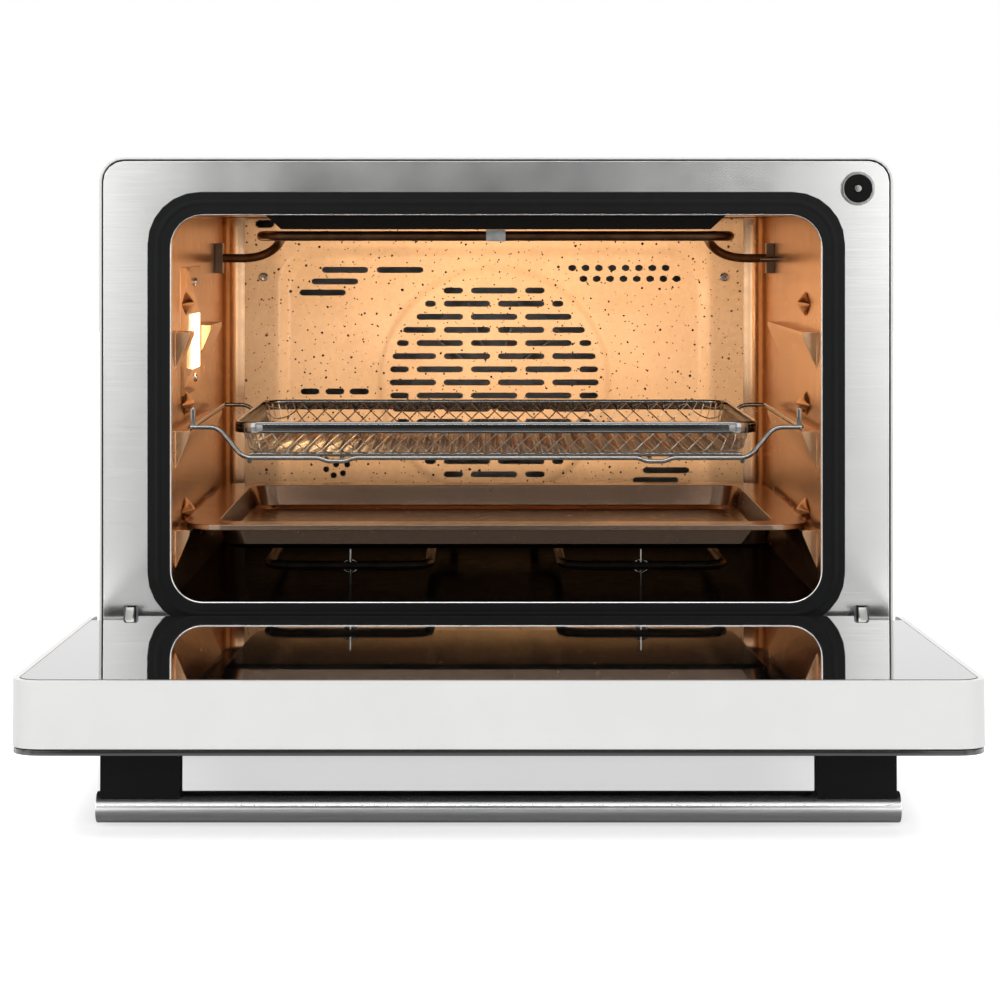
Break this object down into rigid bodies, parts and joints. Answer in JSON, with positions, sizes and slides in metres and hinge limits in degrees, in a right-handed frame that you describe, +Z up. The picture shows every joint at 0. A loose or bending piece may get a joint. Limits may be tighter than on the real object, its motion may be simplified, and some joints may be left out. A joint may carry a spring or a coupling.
{
  "type": "toaster oven",
  "caption": "White counter-top convection oven with brushed steel mouth, drop-down black glass door and bar handle, slotted fan wall, baking tray, wire rack and mesh basket.",
  "frame": {"origin": "on the surface the feet stand on, at the middle of the whole object's box with the door open", "axes": "+Z up, +X to the right seen from the door, +Y from the door towards the rear cover"},
  "size_m": [0.509, 0.7711, 0.3644],
  "materials": {
    "white_casing": "satin white powder coat",
    "brushed_steel": "horizontal brushed stainless steel",
    "satin_steel_bar": "satin turned stainless steel",
    "chrome": "polished chrome",
    "basket_steel": "bright stainless expanded mesh",
    "zinc_sheet": "galvanised steel sheet",
    "speckled_enamel": "cream vitreous enamel with black specks",
    "cavity_steel": "polished aluminised steel liner",
    "dark_enamel": "glossy black vitreous enamel",
    "gasket_silicone": "black silicone rubber",
    "black_glass": "black tempered glass",
    "black_plastic": "matt black moulding",
    "rubber_foot": "black rubber",
    "element_steel": "dark heat-stained steel tube",
    "tray_coating": "dark bronze non-stick coating",
    "lamp_glass": "clear heat-proof glass, lit warm",
    "insulation": "glass-fibre wool",
    "circuit_board": "green circuit board",
    "brass": "plain brass"
  },
  "bodies": {
    "root": {"base_plate": "zinc_sheet", "cavity_ceiling": "cavity_steel", "cavity_floor": "dark_enamel", "cavity_left_wall": "cavity_steel", "cavity_right_wall": "cavity_steel", "cord_gland": "black_plastic", "door_gasket": "gasket_silicone", "element_bracket_left": "zinc_sheet", "element_bracket_right": "zinc_sheet", "element_clip_left": "chrome", "element_clip_right": "chrome", "element_clip_top": "zinc_sheet", "fan_baffle": "speckled_enamel", "fan_chamber": "zinc_sheet", "fan_motor": "zinc_sheet", "foot_front_left": "rubber_foot", "foot_front_right": "rubber_foot", "foot_rear_left": "rubber_foot", "foot_rear_right": "rubber_foot", "front_frame": "brushed_steel", "hinge_arm_left": "chrome", "hinge_arm_right": "chrome", "hinge_housing_left": "zinc_sheet", "hinge_housing_right": "zinc_sheet", "insulation_blanket": "insulation", "lamp_bulb": "lamp_glass", "lamp_housing": "zinc_sheet", "lamp_lens": "lamp_glass", "lower_element": "element_steel", "motor_bracket": "zinc_sheet", "outer_cabinet": "white_casing", "power_board": "circuit_board", "rear_cover": "zinc_sheet", "ring_element": "element_steel", "sensor_bezel": "chrome", "sensor_body": "black_plastic", "temperature_probe": "chrome", "top_reflector": "dark_enamel", "upper_element": "element_steel"},
    "door": {"door_casing": "white_casing", "door_inner_glass": "black_glass", "door_liner": "dark_enamel", "door_outer_glass": "black_glass", "control_board": "circuit_board", "handle_bar": "satin_steel_bar", "handle_post_left": "black_plastic", "handle_post_right": "black_plastic", "hinge_pin_left": "chrome", "hinge_pin_right": "chrome", "hinge_bracket_left": "zinc_sheet", "hinge_bracket_right": "zinc_sheet"},
    "fan": {"fan_impeller": "zinc_sheet", "fan_shaft": "zinc_sheet", "fan_nut": "brass", "cooling_fan": "zinc_sheet"},
    "door_contact": {"sensor_plunger": "chrome"},
    "tray": {"baking_tray": "tray_coating"},
    "rack": {"wire_rack": "chrome"},
    "basket": {"basket_rim": "chrome", "basket_mesh": "basket_steel"}
  },
  "joints": [
    {"name": "door_hinge", "type": "hinge", "parent": "root", "child": "door", "pos_m": [0, -0.08743, 0.0665], "axis": [1, 0, 0], "range_deg": [-88.5, 0]},
    {"name": "fan_spin", "type": "hinge", "parent": "root", "child": "fan", "pos_m": [0, 0.31557, 0.2026], "axis": [0, 1, 0], "continuous": true},
    {"name": "door_contact_travel", "type": "slide", "parent": "root", "child": "door_contact", "axis": [0, 1, 0], "range_m": [0, 0.0018], "stiffness_N_per_m": 300},
    {"name": "tray_slide", "type": "slide", "parent": "root", "child": "tray", "axis": [0, -1, 0], "range_m": [0, 0.3]},
    {"name": "rack_slide", "type": "slide", "parent": "root", "child": "rack", "axis": [0, -1, 0], "range_m": [0, 0.25]},
    {"name": "basket_lift", "type": "slide", "parent": "rack", "child": "basket", "axis": [0, 0, 1], "range_m": [0, 0.09]}
  ]
}
